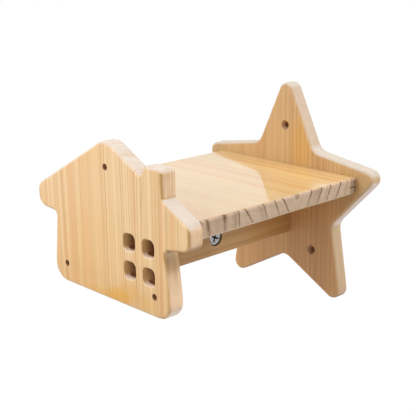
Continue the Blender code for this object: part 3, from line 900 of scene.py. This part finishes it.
def turnedTree():
    # turned pieces: a profile along Z stands on every placed point, with flutes or a thread
    maker, given = newTree("turnedPieces", {
        "Segments": "Int", "Flute Depth": "Float", "Thread Turns": "Float",
        "Thread Radius": "Float", "Thread Length": "Float", "Thread Depth": "Float",
        "Material": "Material",
    })
    inputs = {"Geometry": given["Geometry"], "Selection": attribute(maker, "isPlace", "BOOLEAN")}
    places = maker.add("GeometryNodeSeparateGeometry", None, inputs)
    path = maker.add("GeometryNodeMeshToCurve", None, {"Mesh": places.output("Inverted")})
    # every second point of the ring is drawn in
    second = maker.add("GeometryNodeInputIndex").maths("MODULO", 2.0)
    drawn = maker.add("GeometryNodeInputPosition").scaled(1.0 - second * given["Flute Depth"])
    inputs = {"Geometry": circle(maker, given["Segments"], 1.0), "Position": drawn}
    ring = maker.add("GeometryNodeSetPosition", None, inputs)
    wide = attribute(maker, "wide", "FLOAT")
    inputs = {"Curve": path, "Profile Curve": ring, "Scale": wide, "Fill Caps": True}
    shape = maker.add("GeometryNodeCurveToMesh", None, inputs)
    spiral = maker.add("GeometryNodeCurveSpiral", None, {
        "Resolution": rounds["thread"], "Rotations": given["Thread Turns"],
        "Height": given["Thread Length"],
        "Start Radius": given["Thread Radius"], "End Radius": given["Thread Radius"],
    })
    crest = circle(maker, rounds["crest"], given["Thread Depth"])
    inputs = {"Curve": spiral, "Profile Curve": crest, "Fill Caps": True}
    thread = maker.add("GeometryNodeCurveToMesh", None, inputs)
    lift = maker.join(0.0, 0.0, given["Thread Depth"] * 2.0)
    thread = maker.add("GeometryNodeTransform", None, {"Geometry": thread, "Translation": lift})
    threaded = given["Thread Turns"].maths("GREATER_THAN", 0.5)
    inputs = {"Switch": threaded, "True": thread}
    thread = maker.add("GeometryNodeSwitch", {"input_type": "GEOMETRY"}, inputs)
    inputs = {"Vector": attribute(maker, "aim", "FLOAT_VECTOR")}
    rotation = maker.add("FunctionNodeAlignRotationToVector", {"axis": "Z"}, inputs)
    return endTree(maker, [shape, thread], places, rotation, given["Material"])


def faceTree():
    # what is cast on a cam's face: a raised ring and a pointer towards the bolt
    maker, given = newTree("camFace", {
        "Ring Radius": "Float", "Ring Width": "Float", "Pointer Reach": "Float",
        "Pointer Size": "Float", "Pointer Rise": "Float", "Material": "Material",
    })
    path = circle(maker, rounds["ring"], given["Ring Radius"])
    bead = circle(maker, rounds["bead"], given["Ring Width"])
    ring = maker.add("GeometryNodeCurveToMesh", None, {"Curve": path, "Profile Curve": bead})
    pointer = maker.add("GeometryNodeMeshCylinder", None, {
        "Vertices": rounds["pointer"], "Radius": given["Pointer Size"],
        "Depth": given["Pointer Rise"] * 2.0,
    })
    reach = maker.join(given["Pointer Reach"], 0.0, 0.0)
    pointer = maker.add("GeometryNodeTransform", None, {"Geometry": pointer, "Translation": reach})
    inputs = {"Vector": attribute(maker, "aim", "FLOAT_VECTOR")}
    upright = maker.add("FunctionNodeAlignRotationToVector", {"axis": "Z"}, inputs)
    inputs = {"Rotation": upright, "Vector": attribute(maker, "across", "FLOAT_VECTOR")}
    settings = {"axis": "X", "pivot_axis": "Z"}
    rotation = maker.add("FunctionNodeAlignRotationToVector", settings, inputs)
    return endTree(maker, [ring, pointer], given["Geometry"], rotation, given["Material"])


def grow(name, tree, mesh, settings):
    # runs a geometry tree on a mesh and gives back the plain mesh
    piece = addObject(name, mesh)
    modifier = piece.modifiers.new("grow", "NODES")
    modifier.node_group = tree
    for item in tree.interface.items_tree:
        if item.in_out == "INPUT" and item.name in settings:
            modifier[item.identifier] = settings[item.name]
    bpy.context.view_layer.update()
    ready = piece.evaluated_get(bpy.context.evaluated_depsgraph_get())
    made = bpy.data.meshes.new_from_object(ready)
    piece.modifiers.remove(modifier)
    made.name = name
    bpy.data.objects.remove(piece)
    return made


def placedMesh(name, profile, places):
    # the profile's points up the Z axis, and a loose point with its directions for each place
    mesh = bpy.data.meshes.new(name)
    points = [(0.0, 0.0, height) for radius, height in profile]
    points += [tuple(place) for place, aim, across in places]
    mesh.from_pydata(points, [(index, index + 1) for index in range(len(profile) - 1)], [])
    kinds = {"isPlace": "BOOLEAN", "wide": "FLOAT", "aim": "FLOAT_VECTOR", "across": "FLOAT_VECTOR"}
    for label, kind in kinds.items():
        mesh.attributes.new(label, kind, "POINT")
    values = {label: mesh.attributes[label].data for label in kinds}
    for index, (radius, height) in enumerate(profile):
        values["wide"][index].value = radius
    for index, (place, aim, across) in enumerate(places, len(profile)):
        values["isPlace"][index].value = True
        values["aim"][index].vector = aim
        values["across"][index].vector = across
    return mesh


def addTurned(name, mesh, replaced):
    work = bmesh.new()
    work.from_mesh(mesh)
    bmesh.ops.remove_doubles(work, verts=work.verts, dist=joining["turned"])
    bmesh.ops.recalc_face_normals(work, faces=work.faces)
    softenFaces(work)
    work.to_mesh(mesh)
    work.free()
    piece = addObject(name, mesh)
    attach(piece, "bridge")
    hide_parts(*replaced)


def middle(node):
    low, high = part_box(node)
    return (Vector(low) + Vector(high)) / 2


def boxSize(node):
    low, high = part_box(node)
    return Vector(high) - Vector(low)


def longAxis(node):
    size = boxSize(node)
    return Vector([1.0 if length == max(size) else 0.0 for length in size])


anyAcross = Vector((0, 1, 0))  # a turned piece looks the same all round

# the dowels, in metres
dowel = {
    "names": sorted(node for node in nodes if "dowel" in node),
    "radius": 0.004,
    "tip": 0.0033,
    "chamfer": 0.0007,
    "flutes": 22,
    "fluteDepth": 0.06,
    "pale": (226, 190, 150),
    "dark": (196, 150, 108),
    "fleck": (0.8, 3.0, 0.6),
    "roughness": 0.5,
    "fleckRough": 0.2,
    "specular": 0.3,
    "bump": {"Strength": 0.2, "Distance": 0.0002},
}


def beechWood():
    material, shade = newMaterial("dowelBeech")
    fleck = shade.place().noise(*dowel["fleck"])
    surface(shade, {
        "Base Color": fleck.mix(rgb(dowel["pale"]), rgb(dowel["dark"])),
        "Roughness": fleck * dowel["fleckRough"] + dowel["roughness"],
        "Normal": shade.add("ShaderNodeBump", None, {"Height": fleck, **dowel["bump"]}),
        "Specular IOR Level": dowel["specular"],
    })
    return material


def makeDowels(tree):
    half = max(boxSize(dowel["names"][0])) / 2
    rise = half - dowel["chamfer"]
    tip, radius = dowel["tip"], dowel["radius"]
    profile = [(tip, -half), (radius, -rise), (radius, rise), (tip, half)]
    places = [(middle(name), longAxis(name), anyAcross) for name in dowel["names"]]
    made = grow("dowels", tree, placedMesh("dowelPlaces", profile, places), {
        "Segments": 2 * dowel["flutes"],
        "Flute Depth": dowel["fluteDepth"],
        "Thread Turns": 0.0,
        "Material": beechWood(),
    })
    addTurned("dowels", made, dowel["names"])


# what the bolts' steel and the locks' zinc share
metals = {
    "grain": (2.5, 3.0, 0.6),
    "darker": 0.82,
    "roughSpread": 0.2,
    "bump": {"Strength": 0.2, "Distance": 0.0001},
    "marks": (0.7, 2.0, 0.7),
    "markRange": (0.48, 0.62),
    "markShare": 0.8,
    "sunkRange": (0.15, 0.7),  # in millimetres behind the face
}


def metal(finish):
    material, shade = newMaterial(finish["name"])
    here = shade.place()
    grainy = here.noise(*metals["grain"])
    darker = [value * metals["darker"] for value in finish["colour"]]
    tint = grainy.mix(rgb(finish["colour"]), rgb(darker))
    if "recess" in finish:
        # worn marks, and painted shadow wherever the face is sunk
        marks = here.noise(*metals["marks"]).between(*metals["markRange"]) * metals["markShare"]
        tint = marks.mix(tint, rgb(finish["mark"]))
        sunk = shade.add("ShaderNodeAttribute", {"attribute_name": "sunk"}, None, out=2)
        tint = sunk.between(*metals["sunkRange"]).mix(tint, rgb(finish["recess"]))
    spread = metals["roughSpread"]
    surface(shade, {
        "Base Color": tint,
        "Roughness": grainy * spread + (finish["roughness"] - spread / 2),
        "Normal": shade.add("ShaderNodeBump", None, {"Height": grainy, **metals["bump"]}),
        "Metallic": 1.0,
    })
    return material


# the cam bolts, in metres, with their profile as (radius, height) from the thread's point
bolt = {
    "names": sorted(node for node in nodes if node.startswith("cam_bolt")),
    "profile": [
        (0.0021, 0.0), (0.0026, 0.0006), (0.0026, 0.0103), (0.0036, 0.01052), (0.0036, 0.0125),
        (0.0027, 0.01252), (0.0027, 0.0372), (0.0018, 0.0377), (0.0018, 0.0412),
        (0.0028, 0.04122), (0.0030, 0.0415), (0.0030, 0.0429), (0.0025, 0.0434),
    ],
    "segments": 24,
    "thread": {
        "Thread Turns": 6.0, "Thread Radius": 0.0026,
        "Thread Length": 0.0084, "Thread Depth": 0.00055,
    },
    "finish": {"name": "boltSteel", "colour": (190, 188, 184), "roughness": 0.3},
}


def makeBolts(tree):
    steel = metal(bolt["finish"])
    length = bolt["profile"][-1][1]
    places = []
    for name in bolt["names"]:
        aim = (middle(name.replace("bolt", "lock")) - middle(name)).normalized()
        places.append((middle(name) - aim * length / 2, aim, anyAcross))
    made = grow("camBolts", tree, placedMesh("boltPlaces", bolt["profile"], places), {
        "Segments": bolt["segments"], "Flute Depth": 0.0, "Material": steel, **bolt["thread"],
    })
    addTurned("camBolts", made, bolt["names"])


# the cam locks, in metres
cam = {
    "names": sorted(node for node in nodes if node.startswith("cam_lock")),
    "lift": 0.0014,  # how far the face comes forward in its bore
    "faceDepth": 0.0005,
    "crossReach": 0.0036,
    "crossDepth": 0.0022,
    "crossGrowth": 1.25,
    "face": {
        "Ring Radius": 0.0063, "Ring Width": 0.00028, "Pointer Reach": 0.0048,
        "Pointer Size": 0.0009, "Pointer Rise": 0.0002,
    },
    "finish": {
        "name": "camZinc", "colour": (200, 196, 194), "roughness": 0.34,
        "mark": (92, 84, 86), "recess": (26, 20, 18),
    },
}


def camelName(node):
    first, *rest = node.split("_")
    return first + "".join(word.capitalize() for word in rest)


def makeCam(node, tree, material):
    # the cast body keeps the solid's shape, and the face's ring and pointer are joined to it
    mouth = Vector((0, -1, 0)) if node == "cam_lock_rail" else Vector((0, 0, -1))
    centre = middle(node)
    face = centre + mouth * abs(boxSize(node).dot(mouth)) / 2
    raised = face + mouth * cam["lift"]
    fromBolt = centre - middle(node.replace("lock", "bolt"))
    towards = -(fromBolt - mouth * fromBolt.dot(mouth)).normalized()
    start = placedMesh(node + "Place", [], [(raised, mouth, towards)])
    cast = grow(node + "Face", tree, start, {**cam["face"], "Material": material})
    mesh = nodes[node].data.copy()
    work = bmesh.new()
    work.from_mesh(mesh)
    bmesh.ops.remove_doubles(work, verts=work.verts, dist=joining["cad"])
    for vertex in work.verts:
        inward = (face - vertex.co).dot(mouth)
        sideways = vertex.co + mouth * inward - face
        if sideways.length < cam["crossReach"] and inward < cam["crossDepth"]:
            vertex.co += sideways * (cam["crossGrowth"] - 1)
        if inward < cam["faceDepth"]:
            vertex.co += mouth * cam["lift"]
    work.from_mesh(cast)
    softenFaces(work)
    work.to_mesh(mesh)
    work.free()
    dress(mesh, material)
    # how far each point lies behind the face, in millimetres
    sunk = mesh.attributes.new("sunk", "FLOAT", "POINT")
    for vertex in mesh.vertices:
        sunk.data[vertex.index].value = (raised - vertex.co).dot(mouth) * 1000
    piece = addObject(camelName(node), mesh)
    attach(piece, nodes[node]["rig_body"])
    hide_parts(node)


turned = turnedTree()
makeDowels(turned)
makeBolts(turned)
castFace = faceTree()
zinc = metal(cam["finish"])
for node in cam["names"]:
    makeCam(node, castFace, zinc)
print("fasteners made")

# the camera: its focal length in pixels of the frame, its turn in degrees, its place in metres
view = {
    "focal": 909.5,
    "frameWide": 416,
    "yaw": 46.40,
    "pitch": 15.81,
    "roll": 0.67,
    "place": (-0.6490, -0.5595, 0.2262),
    "sensor": 36.0,
    "nearest": 0.01,
}


def makeCamera():
    yaw, pitch, roll = (math.radians(view[key]) for key in ("yaw", "pitch", "roll"))
    level = math.cos(pitch)
    ahead = Vector((level * math.cos(yaw), level * math.sin(yaw), -math.sin(pitch)))
    right = Vector((math.sin(yaw), -math.cos(yaw), 0))
    down = ahead.cross(right)
    rightTurned = math.cos(roll) * right + math.sin(roll) * down
    downTurned = -math.sin(roll) * right + math.cos(roll) * down
    lens = bpy.data.cameras.new("photoCamera")
    lens.sensor_width = view["sensor"]
    lens.lens = view["focal"] / view["frameWide"] * view["sensor"]
    lens.clip_start = view["nearest"]
    camera = addObject("photoCamera", lens)
    turn = Matrix((rightTurned, -downTurned, -ahead)).transposed()
    camera.matrix_world = Matrix.Translation(view["place"]) @ turn.to_4x4()
    bpy.context.scene.camera = camera


makeCamera()

studio = {
    "worldLight": 0.61,
    "floorDrop": 0.55,
    "floorReach": 12.0,
    "floorColour": (236, 236, 236),
    "floorGlow": 1.05,
    "floorGlowShare": 0.92,
    "lamps": [
        # name, place, size, watts, spread in degrees
        ("leftLamp", (-0.85, 0.2, 0.3), 0.5, 0.57, 70),
        ("rightLamp", (0.45, -1.0, 0.75), 0.8, 1.2, 60),
        ("topLamp", (-0.2, 0.1, 1.3), 0.9, 1.1, 60),
    ],
}


def seenShare(shade):
    # 1 where the camera, a reflection or glass sees it, 0 where it only gives light
    path = shade.add("ShaderNodeLightPath")
    seen = path.output("Is Camera Ray").larger(path.output("Is Glossy Ray"))
    return seen.larger(path.output("Is Transmission Ray"))


def makeWorld():
    world = bpy.data.worlds.new("studioWorld")
    bpy.context.scene.world = world
    world.use_nodes = True
    world.node_tree.nodes.clear()
    shade = Shade(world.node_tree)
    strength = seenShare(shade) * (1.0 - studio["worldLight"]) + studio["worldLight"]
    sky = shade.add("ShaderNodeBackground", None, {"Color": white, "Strength": strength})
    shade.add("ShaderNodeOutputWorld", None, {"Surface": sky})


def makeFloor():
    low = cadBox[0][2] - studio["floorDrop"]
    reach = studio["floorReach"]
    mesh = bpy.data.meshes.new("studioFloor")
    corners = [(-reach, -reach, low), (reach, -reach, low), (reach, reach, low), (-reach, reach, low)]
    mesh.from_pydata(corners, [], [(0, 1, 2, 3)])
    material, shade = newMaterial("paleFloor")
    matt = shade.add("ShaderNodeBsdfDiffuse", None, {"Color": rgb(studio["floorColour"])})
    inputs = {"Color": white, "Strength": studio["floorGlow"]}
    glow = shade.add("ShaderNodeEmission", None, inputs)
    share = seenShare(shade) * studio["floorGlowShare"]
    both = shade.add("ShaderNodeMixShader", None, {0: share, 1: matt, 2: glow})
    shade.add("ShaderNodeOutputMaterial", None, {"Surface": both})
    mesh.materials.append(material)
    floor = addObject("studioFloor", mesh)


def makeLamps():
    aim = (cadBox[0] + cadBox[1]) / 2
    for name, place, size, watts, spread in studio["lamps"]:
        light = bpy.data.lights.new(name, "AREA")
        light.shape = "DISK"
        light.spread = math.radians(spread)
        light.size = size
        light.energy = watts
        lamp = addObject(name, light)
        lamp.location = place
        lamp.rotation_mode = "QUATERNION"
        lamp.rotation_quaternion = (aim - Vector(place)).to_track_quat("-Z", "Y")


makeWorld()
makeFloor()
makeLamps()
bpy.context.scene.view_settings.view_transform = "Standard"
print("studio made")

bpy.context.view_layer.update()
